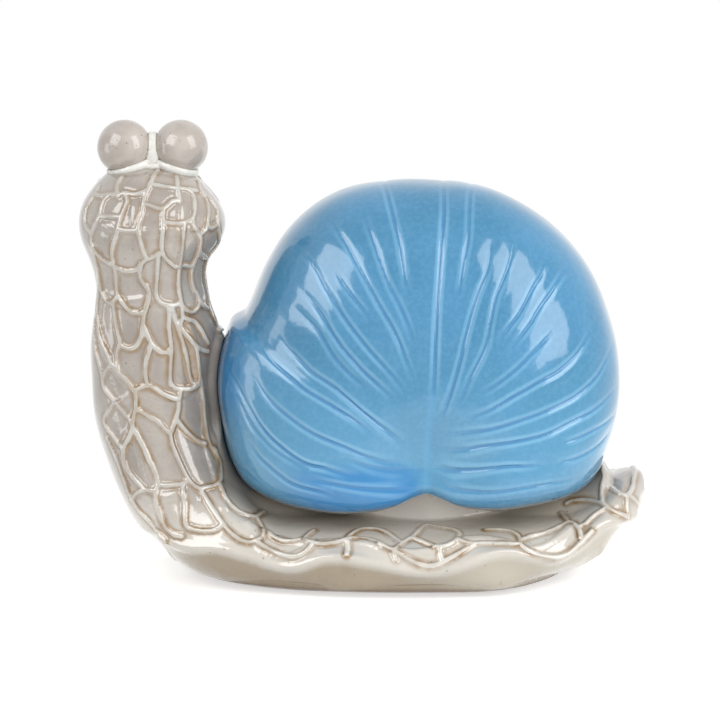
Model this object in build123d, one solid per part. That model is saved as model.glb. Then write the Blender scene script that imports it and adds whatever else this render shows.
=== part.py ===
from build123d import *
import os
from math import atan2, cos, exp, hypot, pi, radians, sin, tan

os.makedirs("parts", exist_ok=True)

# Glazed stoneware snail, in millimetres: head at -X, tail at +X, +Z up.
# Two hollow slip castings, a long body and a pleated shell, with two clay
# balls for eyes, all joined with slip before the glaze firing.
# The pieces are laid out from the shell's hub, the line along Y from which
# its pleats fan out, and moved at the end so that the origin is at the
# middle of the base.

# Shell casting
shell_length = 142.8      # along X, without the lip
shell_rise = 95.4         # from the hub up to the crest
shell_depth = 88.0        # along Y
hub_rise = 10.0           # hub above the seat
hub_radius = 3.0          # solid core that the pleats run into
lip_height = 3.2          # rolled rim of the mouth, above the shell's curve
pleat_depth = 1.0         # groove between two pleats
dimple_reach = 15.0       # how far the hollow round the hub reaches
shell_wall = 6.0

# Body casting
foot_height = 24.5        # top of the foot under the shell
foot_width = 104.0        # along Y, at the rim of the foot
sole_dip = 2.0            # how far the foot's round belly is cut flat
neck_width = 43.6         # along X, at the widest of the neck
neck_depth = 44.0         # along Y
head_width = 52.0
head_depth = 50.0
crown_height = 148.0      # top of the head under the eyes
chest_height = 72.0       # where the neck starts to bend into the foot
tail_reach = 10.2         # tail tip beyond the shell
tail_rise = 37.0          # top of the curled-up tail
body_wall = 7.0
shell_gap = 1.7           # air between the shell and the body round it
rib_height = 0.8          # net of ribs that stands up from the body
rib_width = 2.4
rim_slant = 45.0          # degrees: how the rim of the foot faces up and out

# Seat of the shell: a raised pad on the foot, in a pocket of the shell
seat_rise = 11.5          # pad above the foot
seat_length = 68.0
seat_depth = 54.0
seat_taper = 6.0          # degrees
seat_clearance = 0.8      # pocket round the pad, before the pad's taper
seam_thickness = 0.8      # slip between the pad and the shell
seam_width = 9.0
vent_diameter = 8.0       # lets air out of the shell while it is fired
drain_diameter = 14.0     # hole in the base, where the slip was poured out
drain_place = -48.0       # along X from the hub

# Eyes
eye_diameter = 19.4
eye_space = 0.5           # between the two balls, filled with slip
eye_shift = 0.3           # middle of the two behind the middle of the neck
eye_sink = 4.2            # how deep a ball sits in the crown
eye_clearance = 0.3       # round a ball in its socket
bead_thickness = 3.2      # roll of slip round the balls
bead_tilt = 18.0          # degrees: the roll climbs from both sides to the middle
web_depth = 10.4          # web of slip between the balls, along Y
web_height = 14.0
web_thickness = 9.0       # along X, before the balls are cut from it
web_drop = 2.0            # middle of the web below that of the balls

overrun = 5.0             # how far a cutter runs past what it cuts
pad_root = 5.0            # how far the seat pad reaches down into the foot

# Heights that follow
seat_top = foot_height + seat_rise
pad_foot = foot_height - pad_root
pocket_top = seat_top + seam_thickness
hub_height = seat_top + hub_rise
lobe_drop = hub_height - foot_height - shell_gap

# Outline of the shell in the side view, round the hub from the notch below
# it: forward along the front lobe, over the top and back along the rear lobe.
# X is a share of the length, Z a share of the rise, or of the drop below zero.
shell_outline_shares = (
    (0.000, -0.65), (-0.102, -0.91), (-0.212, -1.00), (-0.301, -0.95), (-0.375, -0.775),
    (-0.431, -0.50), (-0.466, -0.05), (-0.487, 0.126), (-0.494, 0.267), (-0.475, 0.409),
    (-0.436, 0.537), (-0.389, 0.700), (-0.321, 0.845), (-0.224, 0.950), (-0.112, 0.995),
    (0.007, 1.000), (0.122, 0.983), (0.228, 0.919), (0.321, 0.820), (0.399, 0.683),
    (0.450, 0.524), (0.478, 0.346), (0.480, 0.168), (0.459, 0.020), (0.429, -0.40),
    (0.382, -0.675), (0.305, -0.84), (0.203, -0.94), (0.104, -0.89),
)
outline_count = len(shell_outline_shares)
first_pleat = 3           # point of the outline that has the first groove
last_pleat = 26
half_groove = 0.20        # half the width of a groove, in steps of the outline
lip_start = 3.0           # the lip grows from here
lip_full = 5.5
lip_step = 9.3            # and ends in a step up here
lip_end = 9.8
hub_hollow_share = 0.20   # depth of the hollow round the hub
crest_share = 0.947       # where the bulge of a pleat peaks, of its full round
round_power = 2.3         # roundness of a pleat over the top
square_power = 3.6        # and beside the notch, where the lobes are fuller
front_reach = 7.5         # steps of the outline over which it changes
rear_reach = 5.0
hub_fade = 20.0           # the grooves fade out this near the hub
pleat_points = 6          # points from the hub to the rim of a pleat
core_share = 1.3          # radius of the core inside the hub, of the hub's

# Head and neck from the crown down: height, half-width, centre and
# half-depth, as shares of the crown height, head width, head width and depth.
head_shares = (
    (1.000, 0.100, -0.014, 0.100),
    (0.984, 0.240, -0.014, 0.235),
    (0.960, 0.337, -0.014, 0.330),
    (0.930, 0.408, -0.014, 0.405),
    (0.899, 0.465, -0.008, 0.465),
    (0.855, 0.500, 0.000, 0.500),
    (0.811, 0.475, -0.006, 0.480),
    (0.774, 0.423, -0.016, 0.435),
    (0.730, 0.387, -0.014, 0.400),
)
# The neck below it: height as a share of the crown height, half-width and
# centre as shares of the neck width, half-depth as a share of the neck depth.
neck_shares = (
    (0.689, 0.456, -0.007, 0.455),
    (0.639, 0.482, 0.007, 0.455),
    (0.590, 0.514, 0.018, 0.465),
    (0.535, 0.510, 0.005, 0.480),
)
# The bend round the shell's mouth: step of the shell's outline that the
# inside follows, the outside's place as shares of the neck width behind the
# front of the neck and of the chest height, half-width as a share of the
# foot width, and how square the section is.
bend_shares = (
    (8.0, 0.004, 1.000, 0.205, 2.0),
    (7.0, 0.022, 0.790, 0.215, 2.0),
    (6.35, 0.140, 0.510, 0.250, 2.1),
    (5.55, 0.355, 0.250, 0.305, 2.3),
    (4.75, 0.700, 0.070, 0.370, 2.5),
)
# The foot: place along it from the front of the neck to the tail tip, heights
# of top and bottom, half-width and how square the section is.
foot_shares = (
    (0.345, 1.000, -1.0, 0.440, 2.7),
    (0.400, 1.000, -1.0, 0.468, 2.8),
    (0.460, 1.000, -1.0, 0.488, 2.8),
    (0.520, 1.000, -1.0, 0.498, 2.8),
    (0.580, 1.000, -1.0, 0.500, 2.8),
    (0.640, 1.000, -1.0, 0.496, 2.8),
    (0.700, 1.000, -1.0, 0.484, 2.8),
    (0.760, 1.000, -0.6, 0.456, 2.7),
    (0.815, 1.000, 0.5, 0.410, 2.6),
)
# The tail curls up: top and bottom places along the foot, their heights as
# shares of the tail's rise, half-width and how square the section is.
tail_shares = (
    (0.866, 0.710, 0.880, 0.120, 0.350, 2.4),
    (0.920, 0.880, 0.935, 0.290, 0.275, 2.3),
    (0.958, 0.970, 0.968, 0.440, 0.205, 2.2),
    (0.984, 0.985, 0.989, 0.600, 0.125, 2.1),
    (0.998, 0.900, 1.000, 0.730, 0.055, 2.0),
)
# Main ribs of the net on the head, neck and chest, as curves in the side
# view: places across from the middle of the neck as shares of its width,
# heights as shares of the crown height.
neck_rib_shares = (
    ((-0.49, 0.815), (-0.42, 0.715), (-0.44, 0.628), (-0.38, 0.560), (-0.24, 0.500), (-0.14, 0.465),
     (-0.14, 0.410), (-0.17, 0.375), (-0.11, 0.330), (-0.03, 0.270), (0.03, 0.222), (0.05, 0.150)),
    ((-0.13, 0.925), (-0.12, 0.850), (-0.07, 0.775), (-0.03, 0.697), (-0.07, 0.631),
     (-0.02, 0.570), (-0.04, 0.510), (-0.14, 0.465)),
    ((0.26, 0.925), (0.25, 0.857), (0.21, 0.740), (0.26, 0.660), (0.35, 0.577),
     (0.38, 0.496), (0.43, 0.420), (0.45, 0.355), (0.54, 0.265), (0.60, 0.200)),
    ((-0.50, 0.880), (-0.32, 0.868), (-0.13, 0.860), (0.08, 0.866), (0.26, 0.872), (0.46, 0.860)),
    ((-0.43, 0.700), (-0.25, 0.682), (-0.03, 0.690), (0.12, 0.676), (0.26, 0.665), (0.44, 0.670)),
    ((-0.14, 0.465), (-0.02, 0.470), (0.13, 0.455), (0.26, 0.460), (0.39, 0.478)),
    ((-0.17, 0.375), (-0.24, 0.330), (-0.21, 0.275), (-0.11, 0.237), (0.03, 0.222), (0.20, 0.230),
     (0.37, 0.220)),
)
# Main ribs on the rim of the foot, as curves seen square on to the rim:
# places along from the front of the neck as shares of the foot length, and
# up the slope of the rim as shares of the foot width.
foot_rib_shares = (
    ((0.280, -0.060), (0.340, -0.130), (0.420, -0.160), (0.475, -0.158), (0.545, -0.205),
     (0.625, -0.195), (0.670, -0.150), (0.740, -0.150), (0.790, -0.175), (0.830, -0.130),
     (0.860, -0.040)),
    ((0.300, -0.085), (0.310, -0.170), (0.355, -0.205), (0.400, -0.155)),
)
rib_reach_share = 0.26    # how deep the rim's ribs start, of the foot width
section_points = 16
closed_top_rows = 3       # slices at the crown and the tail that stay solid
closed_tail_rows = 4
bead_ring_share = 0.70    # radius of the roll round a ball, of the ball's


def smooth_step(value, start, end):
    """0 before start, 1 after end, with a soft change between."""
    t = min(max((value - start) / (end - start), 0.0), 1.0)
    return t * t * (3 - 2 * t)


def outline_point(step):
    """Place (x, z) from the hub of the shell's outline, smooth between points."""
    k = int(step // 1)
    t = step - k
    corners = [shell_outline_shares[(k + i - 1) % outline_count] for i in range(4)]
    places = [(x * shell_length, z * (shell_rise if z > 0 else lobe_drop)) for x, z in corners]
    weights = (
        (-t + 2 * t * t - t * t * t) / 2,
        (2 - 5 * t * t + 3 * t * t * t) / 2,
        (t + 4 * t * t - 3 * t * t * t) / 2,
        (-t * t + t * t * t) / 2,
    )
    return tuple(sum(w * p[axis] for w, p in zip(weights, places)) for axis in (0, 1))


def shell_point(step, beyond=0.0):
    """The outline with its lip, moved out by a distance."""
    x, z = outline_point(step)
    lip = smooth_step(step, lip_start, lip_full) * (1 - smooth_step(step, lip_step, lip_end))
    reach = hypot(x, z)
    grown = (reach + lip_height * lip + beyond) / reach
    return x * grown, z * grown


def pleat_section(step, groove, wall):
    """Half-plane slice of the shell through the hub: rim in the middle."""
    x, z = shell_point(step)
    reach = hypot(x, z) - wall
    to_notch = outline_count - step
    squareness = exp(-(step / front_reach) ** 2) + exp(-(to_notch / rear_reach) ** 2)
    power = round_power + (square_power - round_power) * squareness
    slant = atan2(z, x)
    half_depth = shell_depth / 2 - wall
    side = []
    for j in range(pleat_points + 1):
        turn = j * pi / 2 / pleat_points
        out_share = sin(turn) ** (2 / power)
        depth_share = max(cos(turn), 0.0) ** (2 / power) if j < pleat_points else 0.0
        r = hub_radius + (reach - hub_radius) * out_share
        hollow_share = 1 - hub_hollow_share * exp(-r / dimple_reach)
        depth = half_depth / crest_share * depth_share * hollow_share
        fade = min(r / hub_fade, 1.0)
        r = r - groove * out_share
        depth = depth - groove * depth_share * fade
        side.append((r, depth))
    line = [(r, -depth) for r, depth in side] + [(r, depth) for r, depth in reversed(side[:-1])]
    places = [(r * cos(slant), y, r * sin(slant)) for r, y in line]
    curve = Spline(*places)
    return Wire([curve.edge(), Edge.make_line(places[-1], places[0])])


def shell_solid(wall, steps):
    """Fan of slices, lofted in two halves and joined over a core at the hub."""
    top = outline_count // 2
    halves = []
    for low, high in ((0, top), (top, outline_count)):
        slices = [pleat_section(s, g, wall) for s, g in steps if low <= s <= high]
        halves.append(Solid.make_loft(slices, ruled=True))
    core_length = (shell_depth - 2 * wall) * (1 - hub_hollow_share)
    core = Rot(90, 0, 0) * Cylinder(hub_radius * core_share, core_length)
    return halves[0] + halves[1] + core


def pleated_steps():
    """Three slices for each groove, one elsewhere."""
    steps = []
    for k in range(outline_count + 1):
        if first_pleat <= k <= last_pleat:
            steps += [(k - half_groove, 0.0), (k, pleat_depth), (k + half_groove, 0.0)]
        else:
            steps.append((k, 0.0))
    return steps


def body_section(inner, outer, half_width, power, wall=0.0):
    """Closed slice of the body between two points of its side outline."""
    span = hypot(inner[0] - outer[0], inner[1] - outer[1])
    along = ((inner[0] - outer[0]) / span, (inner[1] - outer[1]) / span)
    middle = ((inner[0] + outer[0]) / 2, (inner[1] + outer[1]) / 2)
    half_span = span / 2 - wall
    half_width = half_width - wall
    places = []
    for j in range(section_points):
        turn = 2 * pi * j / section_points
        c, s = cos(turn), sin(turn)
        u = half_span * (1 if c > 0 else -1) * abs(c) ** (2 / power)
        v = half_width * (1 if s > 0 else -1) * abs(s) ** (2 / power)
        places.append((middle[0] + along[0] * u, v, middle[1] + along[1] * u))
    return Wire([Spline(*places, periodic=True).edge()])


# Places along X that follow from the shell
neck_back = shell_point(8.0, shell_gap)[0]
neck_middle = neck_back - neck_width / 2
neck_front = neck_middle - neck_width / 2
tail_tip = shell_length * max(x for x, z in shell_outline_shares) + tail_reach
foot_length = tail_tip - neck_front


def body_rows():
    """Inner point, outer point, half-width and squareness of every slice."""
    rows = []
    for height, half, shift, deep in head_shares:
        x = neck_middle + shift * head_width
        z = height * crown_height
        rows.append(((x + half * head_width, z), (x - half * head_width, z), deep * head_depth, 2))
    for height, half, shift, deep in neck_shares:
        x = neck_middle + shift * neck_width
        z = height * crown_height
        rows.append(((x + half * neck_width, z), (x - half * neck_width, z), deep * neck_depth, 2))
    for step, back, height, wide, power in bend_shares:
        x, z = shell_point(step, shell_gap)
        outer = (neck_front + back * neck_width, height * chest_height)
        rows.append(((x, z + hub_height), outer, wide * foot_width, power))
    for place, top, bottom, wide, power in foot_shares:
        x = neck_front + place * foot_length
        rows.append(((x, top * foot_height), (x, bottom * sole_dip), wide * foot_width, power))
    for top_x, top_z, bottom_x, bottom_z, wide, power in tail_shares:
        inner = (neck_front + top_x * foot_length, top_z * tail_rise)
        outer = (neck_front + bottom_x * foot_length, bottom_z * tail_rise)
        rows.append((inner, outer, wide * foot_width, power))
    return rows


def above(height):
    """Block, larger than the snail, that keeps what lies above a height."""
    size = (2 * foot_length, 2 * foot_width, 2 * crown_height)
    return Pos(0, 0, height) * Box(*size, align=(Align.CENTER, Align.CENTER, Align.MIN))


def ellipse_block(length, depth, bottom, top, taper=0.0):
    """Upright block on an elliptic outline, narrower towards its top."""
    outline = Plane.XY.offset(bottom) * Ellipse(length / 2, depth / 2)
    return extrude(outline, amount=top - bottom, taper=taper)


def hole(diameter, x, bottom, top):
    """Round cutter standing upright."""
    cutter = Cylinder(diameter / 2, top - bottom, align=(Align.CENTER, Align.CENTER, Align.MIN))
    return Pos(x, 0, bottom) * cutter


def rib_prisms(lines, plane):
    """Net of ribs on a plane, each a strip along a smooth curve, made deep."""
    ribs = [Spline(*line).edge() for line in lines]
    return extrude(plane * trace(ribs, line_width=rib_width), amount=foot_width)


def raised_net(rows):
    """Ribs that stand up from the near side of the body: nets seen from the side
    and square on to the rim, run through a loft thicker by the height of a rib."""
    thicker = Solid.make_loft([body_section(*row, -rib_height) for row in rows], ruled=False)
    lines = [
        [(neck_middle + across * neck_width, height * crown_height) for across, height in line]
        for line in neck_rib_shares
    ]
    ribs = thicker & rib_prisms(lines, Plane.XZ)
    lines = [
        [(neck_front + along * foot_length, up * foot_width) for along, up in line]
        for line in foot_rib_shares
    ]
    facing = (0, -sin(radians(rim_slant)), cos(radians(rim_slant)))
    rim_plane = Plane(origin=(0, 0, 0), x_dir=(1, 0, 0), z_dir=facing)
    low = rib_prisms(lines, rim_plane.offset(rib_reach_share * foot_width))
    return ribs + (thicker & low)


def body_casting():
    """Head, neck, foot and tail in one loft, cut flat, with the net of ribs on
    both sides, the seat pad, the cavity and the holes."""
    rows = body_rows()
    solid = Solid.make_loft([body_section(*row) for row in rows], ruled=False)
    solid = solid & above(0)
    net = raised_net(rows)
    solid = solid + [net, mirror(net, about=Plane.XZ)]
    solid = solid + ellipse_block(seat_length, seat_depth, pad_foot, seat_top, seat_taper)
    inside_rows = rows[closed_top_rows:-closed_tail_rows]
    inside = Solid.make_loft([body_section(*row, body_wall) for row in inside_rows], ruled=False)
    solid = solid - (inside & above(body_wall))
    solid = solid - hole(vent_diameter, 0, body_wall, seat_top + overrun)
    solid = solid - hole(drain_diameter, drain_place, -overrun, body_wall + overrun)
    for side in (-1, 1):
        solid = solid - eye_ball(side, eye_clearance)
    return solid


def shell_casting():
    """Pleated shell, hollow, with the pocket that goes over the seat pad."""
    solid = Pos(0, 0, hub_height) * shell_solid(0.0, pleated_steps())
    plain_steps = [(k, 0.0) for k in range(outline_count + 1)]
    inside = Pos(0, 0, hub_height) * shell_solid(shell_wall, plain_steps)
    inside = inside & above(pocket_top + shell_wall)
    pocket_length = seat_length + 2 * seat_clearance
    pocket_depth = seat_depth + 2 * seat_clearance
    solid = solid - ellipse_block(pocket_length, pocket_depth, pad_foot, pocket_top)
    solid = solid - inside
    return solid - hole(vent_diameter, 0, seat_top, pocket_top + shell_wall + overrun)


def shell_slip_seam():
    """Ring of slip on top of the seat pad, which the shell was set down on."""
    drawn_in = 2 * (seat_top - pad_foot) * tan(radians(seat_taper)) + 2 * seam_thickness
    length = seat_length - drawn_in
    depth = seat_depth - drawn_in
    ring = ellipse_block(length, depth, seat_top, pocket_top)
    return ring - ellipse_block(
        length - 2 * seam_width, depth - 2 * seam_width, seat_top - overrun, pocket_top + overrun
    )


def eye_place(side):
    """Middle of an eye ball: both sit side by side on the crown."""
    x = neck_middle + eye_shift + side * (eye_diameter + eye_space) / 2
    return Pos(x, 0, crown_height - eye_sink + eye_diameter / 2)


def eye_ball(side, clearance=0.0):
    return eye_place(side) * Sphere(eye_diameter / 2 + clearance)


def eye_slip_bead(head):
    """Roll of slip round the foot of each ball, and a web up between the two."""
    ring_radius = bead_ring_share * eye_diameter / 2
    ring_drop = eye_diameter / 2 * (1 - bead_ring_share ** 2) ** 0.5
    roll = Pos(0, 0, -ring_drop) * Torus(ring_radius, bead_thickness / 2)
    outline = Plane.YZ * Ellipse(web_depth / 2, web_height / 2)
    web = extrude(outline, amount=web_thickness / 2, both=True)
    bead = eye_place(0) * Pos(0, 0, -web_drop) * web
    bridge = Cylinder(ring_radius, bead_thickness)
    bead = bead + eye_place(0) * Pos(0, 0, -ring_drop) * bridge
    for side in (-1, 1):
        bead = bead + eye_place(side) * Rot(0, side * bead_tilt, 0) * roll
    for side in (-1, 1):
        bead = bead - eye_ball(side, eye_clearance)
    bead = bead - head
    return max(bead.solids(), key=lambda solid: solid.volume)


pieces = {
    "body_casting": body_casting(),
    "shell_casting": shell_casting(),
    "shell_slip_seam": shell_slip_seam(),
    "left_eye_ball": eye_ball(-1),
    "right_eye_ball": eye_ball(1),
}
pieces["eye_slip_bead"] = eye_slip_bead(pieces["body_casting"])

# The origin goes to the middle of the base
base_middle = pieces["body_casting"].bounding_box().center().X
for name, piece in pieces.items():
    export_step(Pos(-base_middle, 0, 0) * piece, f"parts/{name}.step")
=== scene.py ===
from math import cos, hypot, pi, radians, sin

import bmesh
import bpy
import numpy as np
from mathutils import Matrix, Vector
from mathutils.bvhtree import BVHTree
from mathutils.kdtree import KDTree


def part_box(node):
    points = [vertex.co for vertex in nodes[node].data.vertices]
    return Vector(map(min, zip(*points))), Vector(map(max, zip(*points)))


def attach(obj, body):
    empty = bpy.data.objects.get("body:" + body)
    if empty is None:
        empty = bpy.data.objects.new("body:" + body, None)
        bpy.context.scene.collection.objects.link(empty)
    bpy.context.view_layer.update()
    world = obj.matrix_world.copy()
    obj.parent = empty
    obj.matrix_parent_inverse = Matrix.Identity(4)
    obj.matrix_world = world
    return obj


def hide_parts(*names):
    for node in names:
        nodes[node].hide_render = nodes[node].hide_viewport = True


# Glazed stoneware snail: greige body under a raised net, glossy blue shell
# with pleats that fan out from the hub, and two ball eyes.
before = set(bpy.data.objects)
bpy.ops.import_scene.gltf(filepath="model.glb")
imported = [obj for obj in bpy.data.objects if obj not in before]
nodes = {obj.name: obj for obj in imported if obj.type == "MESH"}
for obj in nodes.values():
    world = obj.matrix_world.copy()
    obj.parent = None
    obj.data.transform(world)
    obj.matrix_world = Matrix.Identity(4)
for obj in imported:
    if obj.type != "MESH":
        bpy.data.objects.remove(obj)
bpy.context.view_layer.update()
MM = 0.001

# Camera: long lens, level with the snail and a little above it
photo_pixels = 720
view_width = 256.3 * MM          # width of the picture at the snail's middle
view_distance = 3.0              # metres
view_elevation = radians(12.0)
view_aim = Vector((-1.1, 0.0, 76.4)) * MM
sensor_width = 36.0              # millimetres, as on the camera
view_start = 0.05                # metres: nothing nearer shows

view_right = Vector((1, 0, 0))
view_up = Vector((0, sin(view_elevation), cos(view_elevation)))
view_ahead = Vector((0, cos(view_elevation), -sin(view_elevation)))
view_place = view_aim - view_ahead * view_distance

# Net of raised ribs on the body, traced from the photograph: every
# line is a rib's middle, in pixels of the 720 by 720 picture.
head_ribs = (
    ((121, 178), (118, 184), (117, 190), (119, 196)),
    ((99, 187), (95, 194), (90, 201), (86.5, 208), (84.5, 216), (85, 224), (90, 232)),
    ((95, 194), (101, 196), (110, 194.5), (119, 195), (124, 192.5), (133, 194.5), (141, 193),
     (148, 189.5)),
    ((158, 171), (153, 178), (150, 184.5), (148, 190), (145, 196), (143, 205), (141.5, 214),
     (139, 222), (137.5, 230)),
    ((150, 184.5), (158, 185.5), (166, 187), (175, 188), (186, 189), (197, 191)),
    ((176.5, 177), (177, 184), (178.5, 194), (179.5, 200)),
    ((188, 189.5), (192, 193), (194.5, 200), (195, 210), (194, 217)),
    ((144, 204), (150, 205.5), (156, 208), (163, 208.5), (168, 205), (172, 201.5), (179, 200)),
    ((163.5, 209), (163, 219), (163, 230)),
    ((163, 222), (172, 223), (181, 223), (189, 221), (194, 217)),
    ((198, 182), (201, 191), (206, 200), (208.5, 210), (208, 220), (207, 229), (202, 234)),
    ((201, 191), (210, 199), (216, 208), (217.5, 218), (219, 232), (219, 241), (215, 248),
     (210, 254), (207, 259)),
    ((207, 226), (211, 228.5), (216, 226)),
    ((110, 194.5), (105, 199), (101.5, 206), (100, 213), (96, 222), (92.5, 230), (91, 240),
     (93, 249), (100, 257), (108, 262.5), (114, 265)),
    ((99, 215), (105, 216.5), (112, 216.5), (120, 217)),
    ((124, 193), (127, 200), (125, 207), (122, 214), (120, 220), (118, 226), (117, 233),
     (113.5, 243), (112, 253), (113.5, 263), (115.5, 273), (116.5, 284), (117.5, 294)),
)
neck_ribs = (
    ((118, 229), (126, 230.5), (137, 230.5)),
    ((137.5, 230.5), (140, 240), (143, 250), (147, 258.5)),
    ((114, 265), (120, 269), (128, 271), (137, 269.5), (141, 263.5), (147, 259.5), (153, 257),
     (158, 253)),
    ((141.5, 264), (140, 274), (143, 282), (148, 289), (149, 297), (147, 306), (144.5, 314),
     (143, 324), (142, 333), (140, 340), (136, 346), (131, 348.5), (125, 347.5), (120, 344)),
    ((163, 230), (162, 240), (162, 250), (165, 257), (170.5, 263), (176, 267), (180, 266)),
    ((161, 252), (158.5, 257), (158, 265), (157, 275), (156, 286), (156, 294), (159, 301),
     (165, 304.5), (172, 305.5), (178, 304)),
    ((184.5, 223), (184, 232), (183, 243), (182, 254), (180, 266), (178.5, 276), (178.5, 287),
     (180, 296), (182, 305), (186, 310)),
    ((194, 217), (193, 224), (198, 232), (201, 238), (200.5, 247), (197.5, 256), (194, 263.5),
     (192, 271), (192, 280), (194, 289), (198, 296), (199.5, 303), (197, 309), (192, 312),
     (186, 310)),
    ((180, 266), (186, 265.5), (193, 267)),
    ((199, 252), (203, 255.5), (207, 258)),
    ((207, 258), (205, 267), (204.5, 277), (206, 287), (208, 297), (208.5, 305), (211, 314),
     (215, 322), (218, 330)),
    ((199, 301), (204, 306), (209, 309)),
    ((92.5, 249), (95.5, 261), (98.5, 271), (100, 282), (101.5, 292), (105.5, 300), (111, 303),
     (115, 299.5), (118, 295)),
    ((118, 295), (122, 302), (127, 308), (133, 312), (140, 313), (144.5, 311)),
    ((113, 303), (114.5, 312), (116, 323), (118, 333), (120, 343), (117.5, 351), (117, 360),
     (117.5, 370)),
    ((99.5, 284), (97.5, 303), (97.5, 314), (98.5, 325), (100.5, 338), (103.5, 346), (108, 355),
     (112, 364), (118, 371.5), (125, 378.5), (131, 386), (135, 391.5)),
    ((96.5, 314), (95, 326), (95, 340), (96.5, 352), (99, 361), (102, 371), (103.5, 379)),
    ((103.5, 378), (106, 371), (111, 365)),
    ((171, 305), (174, 314), (176, 322), (178, 330), (181, 338), (184.5, 350), (187, 361),
     (188.5, 372), (191, 380), (196, 386)),
    ((168, 305), (169, 316), (169, 328), (170, 338), (171, 348), (170.5, 362), (170, 372),
     (170, 380), (171, 385)),
    ((143, 324), (147, 334), (151, 342), (156, 348.5), (162, 352), (168, 352), (171, 348)),
    ((182, 305), (183, 316), (189, 319.5), (195, 322), (200, 328), (204, 335), (208, 343)),
    ((183, 316), (180.5, 325), (184, 332), (190, 339), (196, 346), (202, 350), (208, 351.5)),
    ((196, 346), (197.5, 357), (198.5, 368), (199.5, 379)),
    ((151, 342), (149, 352), (146, 361), (145.5, 371), (146, 379), (148.5, 385)),
    ((135, 391), (141, 387.5), (148, 385.5), (155, 388.5), (163, 393.5), (170, 397), (179, 400)),
    ((171, 384), (176, 388), (184, 389), (192, 388.5), (199, 385)),
    ((180, 389), (180, 395), (179, 401), (178.5, 409), (176.5, 418), (173.5, 427), (171, 433)),
    ((135.5, 392), (136, 400), (135.5, 409), (133.5, 418), (132.5, 427)),
    ((135.5, 409), (142, 412), (150, 417), (158, 422), (165, 429), (170, 434), (172, 443),
     (175, 451), (179, 460.5), (183.5, 470.5), (188.5, 479.5), (194, 485.5), (200, 489)),
    ((103.5, 379), (104.5, 387), (109, 394), (115, 401.5), (123, 410.5), (129, 419), (133.5, 428),
     (139, 438.5), (144.5, 449), (148, 458), (152.5, 467), (156, 476), (157.5, 484), (156, 490)),
    ((114.5, 402), (110, 409.5), (104.5, 418), (106, 426), (112, 435), (118, 443), (123, 449)),
    ((132.5, 428), (129.5, 436), (125.5, 444), (123, 449)),
    ((177, 419), (183, 427), (190, 434.5), (198, 440.5), (206, 443)),
    ((197, 386), (200, 379), (202, 390), (204, 402), (204.5, 412), (206, 424), (208, 436),
     (211, 445), (215, 453), (219, 463), (221.5, 473), (220.5, 480), (216, 485), (208, 487),
     (200, 489)),
)
chest_ribs = (
    ((123, 449), (123.5, 459), (126, 467), (132, 475.5), (139.5, 483.5), (146, 489.5),
     (156, 490.5)),
    ((157.5, 484), (165, 485.5), (174, 485), (183, 483.5), (188, 479.5)),
    ((219, 482), (222, 489), (225.5, 497), (232, 505.5), (240, 512), (249, 515.5), (256, 516.5),
     (264, 511.5)),
    ((256, 516.5), (259.5, 523), (263, 530), (262.5, 536), (256, 540.5), (248, 542), (239, 539),
     (230, 532), (223, 524), (216.5, 515), (210, 505), (204, 495), (200, 489)),
    ((156, 490), (156, 500), (158.5, 510), (162, 519), (167, 528), (174, 534), (182, 536)),
    ((182.5, 484), (183.5, 494), (185, 505), (185, 516), (187, 526), (196, 530), (206, 531),
     (215, 530), (223, 524)),
    ((146, 489.5), (138, 492.5), (131.5, 499)),
    ((107, 437), (112, 449), (118, 463), (124, 479), (130, 494), (139, 510), (149, 520.5),
     (158, 530), (168, 540)),
)
foot_ribs = (
    ((256, 541), (263, 545.5), (271, 550), (282, 554.5), (291, 556.5), (299, 555.5),
     (305.5, 551.5), (311, 545), (312.5, 541.5)),
    ((263, 529), (268.5, 532.5), (275, 537.5), (283, 540.5), (293, 540.5), (303, 539),
     (311, 541.5), (320, 543.5), (331, 543), (342, 540.5), (348, 538.5), (358, 538.5),
     (369, 539.5), (379, 542.5), (387, 547), (394, 550)),
    ((304, 538.5), (309, 534), (314, 530.5)),
    ((345, 540), (351, 535), (357, 531), (364, 529), (372, 529), (380, 530), (387, 533),
     (394, 537.5), (401, 542)),
    ((347.5, 540.5), (347.5, 548), (347, 555)),
    ((394, 549.5), (400, 544.5), (407, 539.5), (413, 536), (418, 531.5), (423, 527), (427, 525.5),
     (436, 527), (446, 528.5), (455, 530.5), (459.5, 534), (457, 539), (451, 543.5), (444, 546),
     (438, 546.5)),
    ((413, 537.5), (420, 540), (427, 543), (434, 546), (439, 547), (440, 553), (441.5, 560)),
    ((394.5, 550), (398, 552.5), (405, 557), (414, 562), (424, 565), (433, 565.5), (441.5, 562.5),
     (450, 558), (459, 553), (467, 548), (473, 544.5)),
    ((457.5, 539), (464, 542), (473, 543.5), (485, 543), (497, 543.5), (509, 543.5), (520, 543.5)),
    ((520.5, 543), (518.5, 536), (513, 532), (505, 530), (496, 529.5), (486, 530)),
    ((393.5, 550), (394, 555), (396, 560)),
)
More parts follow.
